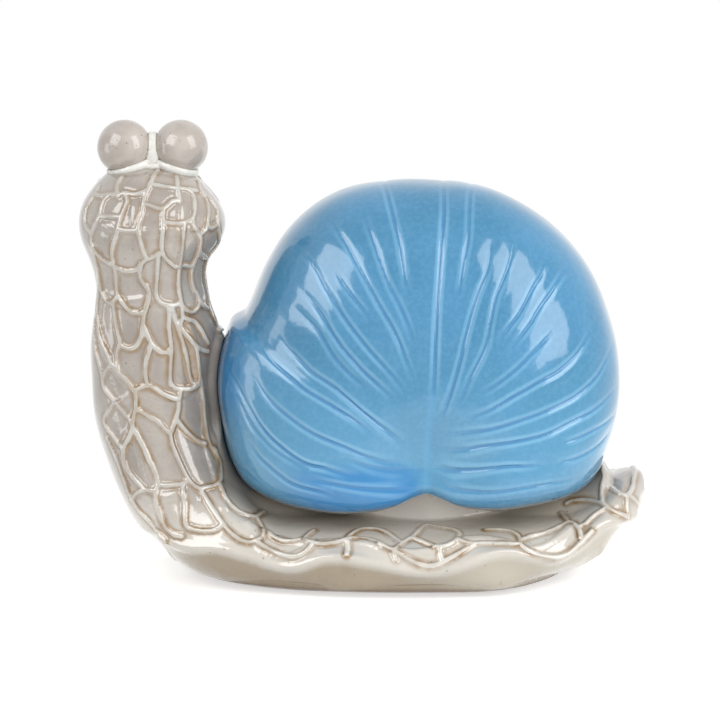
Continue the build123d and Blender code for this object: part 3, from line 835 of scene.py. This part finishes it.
def net_glaze():
    """Glazed stoneware, slip-cast: greige panels, with painted light that makes them paler on the
    foot, nearly white where the glaze pulled off the raised ribs, toffee brown where it ran thin
    beside them and on the skirt, a painted sheen that pales the skirt towards the tail, painted
    shade near the shell, iron specks and a bare brown sole."""
    made, tree, output, where = material("glazed_stoneware_net")
    rib = number(tree, "rib_mm")
    skirt = number(tree, "skirt")
    sole = number(tree, "sole")
    wobble = maths(tree, "MULTIPLY", maths(tree, "SUBTRACT", clouds(tree, where, 2.2), 0.5), 0.5)
    rib = maths(tree, "ADD", rib, wobble)
    uneven = clouds(tree, where, 9.0, 3.0)
    wander = maths(tree, "MULTIPLY", maths(tree, "SUBTRACT", uneven, 0.45), 0.9)
    rib = maths(tree, "ADD", rib, wander)
    patches = clouds(tree, where, 16.0, 4.0)
    streaks = clouds(tree, where, 5.0, 5.0, 0.6)
    height = add(tree, "ShaderNodeSeparateXYZ", {0: where}).outputs["Z"]
    panel = blend(tree, ramp(tree, patches, 0.38, 0.62), "#8d847b", "#a0988f")
    panel = blend(tree, ramp(tree, streaks, 0.45, 0.75, 0.0, 0.5), panel, "#98918b")
    fleck = ramp(tree, clouds(tree, where, 1.1, 4.0, 0.7), 0.5, 0.7, 0.0, 0.35)
    panel = blend(tree, fleck, panel, "#857b70")
    # Painted light, not a thicker glaze: panels on the foot are made paler to lift the shade that
    # the shell casts there
    thick = ramp(tree, height, 40.0, 21.0, 0.0, 0.5)             # paler on the foot
    panel = blend(tree, thick, panel, "#d8d3c8")
    thin = ramp(tree, streaks, 0.32, 0.55, 0.5, 1.0)
    washed = maths(tree, "MULTIPLY", ramp(tree, rib, 2.9, 1.0), thin)    # mm from a rib
    here = clouds(tree, where, 12.0, 2.0)
    washed = maths(tree, "MULTIPLY", washed, ramp(tree, here, 0.35, 0.58, 0.4, 1.0))
    washed = maths(tree, "MULTIPLY", washed, ramp(tree, height, 138.0, 105.0, 0.6, 1.0))  # head
    colour = blend(tree, washed, panel, "#846841")
    on_rib = maths(tree, "MULTIPLY", ramp(tree, rib, 0.95, 0.55),
                   ramp(tree, uneven, 0.6, 0.35, 0.6, 0.95))
    # The ribs on the foot get the same painted light
    crest = blend(tree, thick, blend(tree, patches, "#aca9a2", "#bbb8b1"), "#d8d3c8")
    colour = blend(tree, on_rib, colour, crest)
    brown = blend(tree, ramp(tree, patches, 0.35, 0.65), "#837154", "#908067")
    # Painted highlight: the skirt turns paler towards the tail, standing in for the glossy sheen
    # there
    along = add(tree, "ShaderNodeSeparateXYZ", {0: where}).outputs["X"]
    brown = blend(tree, ramp(tree, along, 5.0, 45.0, 0.0, 0.8), brown, "#aca596")
    skirt_share = maths(tree, "MULTIPLY", skirt, ramp(tree, patches, 0.25, 0.5, 0.8, 1.0))
    colour = blend(tree, skirt_share, colour, brown)
    # Painted shade: the body darkens towards the shell, in the shade between the two parts
    painted_crevice_shade = ramp(tree, number(tree, "painted_crevice_shade"), 0.15, 0.85, 0.0, 0.2)
    colour = blend(tree, painted_crevice_shade, colour, "#93836c")
    specks = iron_specks(tree, where, 2.7, 0.5, 0.5)
    colour = blend(tree, maths(tree, "MULTIPLY", specks, 0.6), colour, "#6e645b")
    bare = ramp(tree, maths(tree, "ADD", height, maths(tree, "MULTIPLY", streaks, 0.8)), 1.9, 1.2)
    bare = maths(tree, "MAXIMUM", bare, sole)
    colour = blend(tree, bare, colour, blend(tree, streaks, "#6a5337", "#4f3c26"))
    roughness = ramp(tree, bare, 0.2, 0.8, 0.18, 0.8)
    fine = clouds(tree, where, 3.0, 3.0)
    glazed(tree, output, colour, roughness, ((ramp(tree, rib, 1.2, 0.5), 0.10 * MM),
                                             (fine, 0.08 * MM)), 1.0, 1.7)
    return made


def blue_glaze():
    """Transparent blue glaze on stoneware: deeper where it pooled in the
    grooves, paler and greyer where it thinned over the edges."""
    made, tree, output, where = material("blue_gloss_glaze")
    groove = number(tree, "groove_mm")
    deep = number(tree, "groove_depth")
    fold = number(tree, "fold_mm")
    patches = clouds(tree, where, 30.0, 3.0)
    height = add(tree, "ShaderNodeSeparateXYZ", {0: where}).outputs["Z"]
    low = ramp(tree, height, 100.0, 45.0)
    colour = blend(tree, low, "#246f95", "#4485a8")
    colour = blend(tree, ramp(tree, height, 48.0, 26.0, 0.0, 0.8), colour, "#2a7197")
    colour = blend(tree, ramp(tree, patches, 0.35, 0.65, 0.0, 0.35), colour, "#4a8ab5")
    mottled = ramp(tree, clouds(tree, where, 1.8, 5.0, 0.65), 0.4, 0.65, 0.0, 0.09)
    colour = blend(tree, mottled, colour, "#7fb3d3")
    uneven = clouds(tree, where, 9.0, 4.0)
    pool = maths(tree, "MULTIPLY", number(tree, "pool"), ramp(tree, uneven, 0.3, 0.55, 0.6, 0.95))
    colour = blend(tree, pool, colour, "#1a74ac")
    pooled = maths(tree, "MULTIPLY", ramp(tree, groove, 0.9, 0.15), deep)
    colour = blend(tree, maths(tree, "MULTIPLY", pooled, 0.6), colour, "#2a73a8")
    shoulder = maths(tree, "MULTIPLY", ramp(tree, groove, 0.5, 0.9), ramp(tree, groove, 2.4, 1.3))
    shoulder = maths(tree, "MULTIPLY", shoulder, deep)
    colour = blend(tree, maths(tree, "MULTIPLY", shoulder, 0.3), colour, "#8cc0dd")
    colour = blend(tree, ramp(tree, fold, 2.5, 0.4, 0.0, 0.35), colour, "#4a93c0")
    colour = blend(tree, maths(tree, "MULTIPLY", number(tree, "rim"), 0.75), colour, "#b3a78f")
    fine = clouds(tree, where, 5.0, 3.0)
    cut = maths(tree, "MULTIPLY", ramp(tree, groove, 0.8, 0.1), deep)
    glazed(tree, output, colour, 0.16, ((maths(tree, "MULTIPLY", cut, -1.0), 0.12 * MM),
                                        (fine, 0.07 * MM)), 0.7)
    return made


def eye_glaze():
    """Taupe gloss glaze over a smooth clay ball, with a few iron specks."""
    made, tree, output, where = material("taupe_gloss_glaze")
    patches = clouds(tree, where, 9.0, 3.0)
    colour = blend(tree, ramp(tree, patches, 0.35, 0.65), "#a0978f", "#aea69e")
    specks = iron_specks(tree, where, 1.7, 0.42, 0.4)
    colour = blend(tree, maths(tree, "MULTIPLY", specks, 0.7), colour, "#5f5249")
    fine = clouds(tree, where, 2.5, 2.0)
    glazed(tree, output, colour, 0.2, ((fine, 0.05 * MM),), 0.7)
    return made


def slip_glaze():
    """Glazed slip: the same glaze, nearly white where it lies thick."""
    made, tree, output, where = material("glazed_slip")
    patches = clouds(tree, where, 4.0, 3.0)
    colour = blend(tree, ramp(tree, patches, 0.35, 0.65), "#c7c6c0", "#d7d6d0")
    glazed(tree, output, colour, 0.24, ((clouds(tree, where, 2.0), 0.10 * MM),), 0.5)
    return made


def bare_slip():
    """Fired slip without glaze: matt, sandy, buff brown."""
    made, tree, output, where = material("bare_fired_slip")
    grain = clouds(tree, where, 0.6, 4.0)
    colour = blend(tree, grain, "#8a7458", "#a8957a")
    bump = add(tree, "ShaderNodeBump", {"Height": grain, "Distance": 0.08 * MM}).outputs[0]
    shader = add(tree, "ShaderNodeBsdfPrincipled", {"Base Color": colour, "Roughness": 0.85,
                                                    "Normal": bump})
    tree.links.new(shader.outputs[0], output.inputs[0])
    return made


def finish_piece(obj, node, finish):
    obj.data.materials.clear()
    obj.data.materials.append(finish)
    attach(obj, "root")
    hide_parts(node)


taupe = eye_glaze()
shell_skin = shell_glazed()
finish_piece(shell_skin, "shell_casting", blue_glaze())
finish_piece(body_glazed(shell_skin), "body_casting", net_glaze())
finish_piece(eye_glazed("left_eye_ball", "left_eye_glazed"), "left_eye_ball", taupe)
finish_piece(eye_glazed("right_eye_ball", "right_eye_glazed"), "right_eye_ball", taupe)
finish_piece(slip_roll(), "eye_slip_bead", slip_glaze())
finish_piece(seam_slip(), "shell_slip_seam", bare_slip())


# Stage: pale floor, white air, soft boxes left and right that show in the glaze,
# and two that only light the clay, one from above and one from low in front
floor_reach = 0.32               # metres
floor_glow = 0.55
floor_fade_start = 0.45          # shares of the reach between which it fades
floor_fade_end = 0.95


def floor_disc():
    """Paper under the snail, which keeps its shadow and fades into the white air."""
    bm = bmesh.new()
    bmesh.ops.create_circle(bm, cap_ends=True, segments=96, radius=floor_reach)
    obj = piece_from("floor", bm)
    made, tree, output, where = material("white_sweep")
    ray = add(tree, "ShaderNodeLightPath")
    seen = maths(tree, "MAXIMUM", ray.outputs["Is Camera Ray"], ray.outputs["Is Transmission Ray"])
    seen = maths(tree, "MAXIMUM", seen, ray.outputs["Is Glossy Ray"])
    paper = add(tree, "ShaderNodeBsdfDiffuse", {"Color": linear("#e8e8e6")}).outputs[0]
    glow = add(tree, "ShaderNodeEmission", {"Color": (1, 1, 1, 1),
                                            "Strength": maths(tree, "MULTIPLY", seen, floor_glow)})
    both = add(tree, "ShaderNodeAddShader", {0: paper, 1: glow.outputs[0]}).outputs[0]
    clear = add(tree, "ShaderNodeBsdfTransparent").outputs[0]
    reach = add(tree, "ShaderNodeVectorMath", {0: where}, operation="LENGTH").outputs["Value"]
    far = ramp(tree, reach, floor_fade_start * floor_reach / MM, floor_fade_end * floor_reach / MM)
    edge = maths(tree, "MULTIPLY", far, seen)
    shader = add(tree, "ShaderNodeMixShader", {0: edge, 1: both, 2: clear}).outputs[0]
    tree.links.new(shader, output.inputs[0])
    obj.data.materials.append(made)


def white_air():
    """White tent all round, which lights the snail softly and is its backdrop."""
    world = bpy.data.worlds.new("studio")
    bpy.context.scene.world = world
    world.use_nodes = True
    tree = world.node_tree
    tree.nodes.clear()
    back = add(tree, "ShaderNodeBackground", {"Color": (1, 1, 1, 1), "Strength": 1.0})
    output = add(tree, "ShaderNodeOutputWorld")
    tree.links.new(back.outputs[0], output.inputs[0])


def soft_box(name, turn, rise, distance, width, height, power, on_clay=True, in_glaze=True):
    """Area lamp seen from the snail at a turn and a rise, in degrees, from the
    camera. It may light only the clay, or show only as a glint in the glaze."""
    turn, rise = radians(turn), radians(rise)
    way = Vector((sin(turn) * cos(rise), -cos(turn) * cos(rise), sin(rise)))
    lamp = bpy.data.lights.new(name, "AREA")
    lamp.shape = "RECTANGLE"
    lamp.size = width
    lamp.size_y = height
    lamp.energy = power
    obj = bpy.data.objects.new(name, lamp)
    obj.visible_diffuse = on_clay
    obj.visible_glossy = in_glaze
    obj.location = view_aim + way * distance
    obj.rotation_euler = (-way).to_track_quat("-Z", "Y").to_euler()
    bpy.context.scene.collection.objects.link(obj)


def camera():
    data = bpy.data.cameras.new("camera")
    data.sensor_width = sensor_width
    data.lens = sensor_width * view_distance / view_width
    data.clip_start = view_start
    obj = bpy.data.objects.new("camera", data)
    obj.location = view_place
    obj.rotation_euler = view_ahead.to_track_quat("-Z", "Y").to_euler()
    bpy.context.scene.collection.objects.link(obj)
    bpy.context.scene.camera = obj


floor_disc()
white_air()
soft_box("left_box", -51, 37, 1.0, 0.68, 0.70, 4.8, on_clay=False)
soft_box("low_left_box", -80, 2, 1.0, 0.26, 0.50, 0.8, on_clay=False)
soft_box("right_box", 54, 30, 1.0, 0.50, 0.90, 4.4)
soft_box("key_box", 5, 62, 1.2, 0.60, 0.60, 1.4, in_glaze=False)
soft_box("low_front_box", 12, 6, 1.1, 0.90, 0.30, 2.6, in_glaze=False)
camera()
bpy.context.scene.view_settings.view_transform = "Standard"
